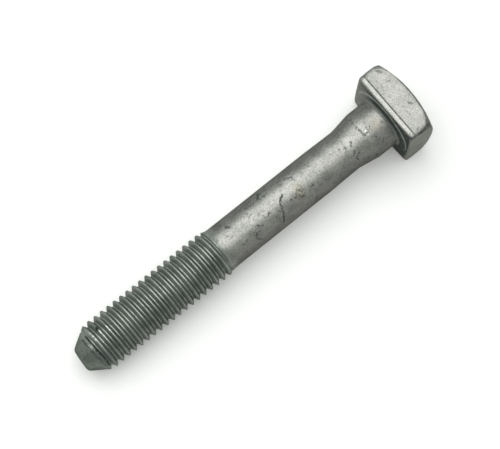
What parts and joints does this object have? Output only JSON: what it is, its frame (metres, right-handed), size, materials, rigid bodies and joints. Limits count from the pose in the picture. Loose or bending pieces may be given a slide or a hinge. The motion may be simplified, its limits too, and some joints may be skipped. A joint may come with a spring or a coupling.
{
  "type": "square-head bolt",
  "caption": "Square-head shock absorber bolt with a fit shoulder under the head, a reduced plain shank, a coarse right-hand thread and a tapered point.",
  "frame": {"origin": "centre of the bearing face under the head", "axes": "+X along the bolt's axis from the head to the tip, +Z the upper flat of the head as the bolt lies, +Y the flat to its left seen from the head"},
  "size_m": [0.0788, 0.0156, 0.0156],
  "materials": {
    "coated_steel": "matt light grey zinc-flake coating over forged steel, with dark handling marks"
  },
  "bodies": {
    "root": {"bolt": "coated_steel"}
  },
  "joints": []
}
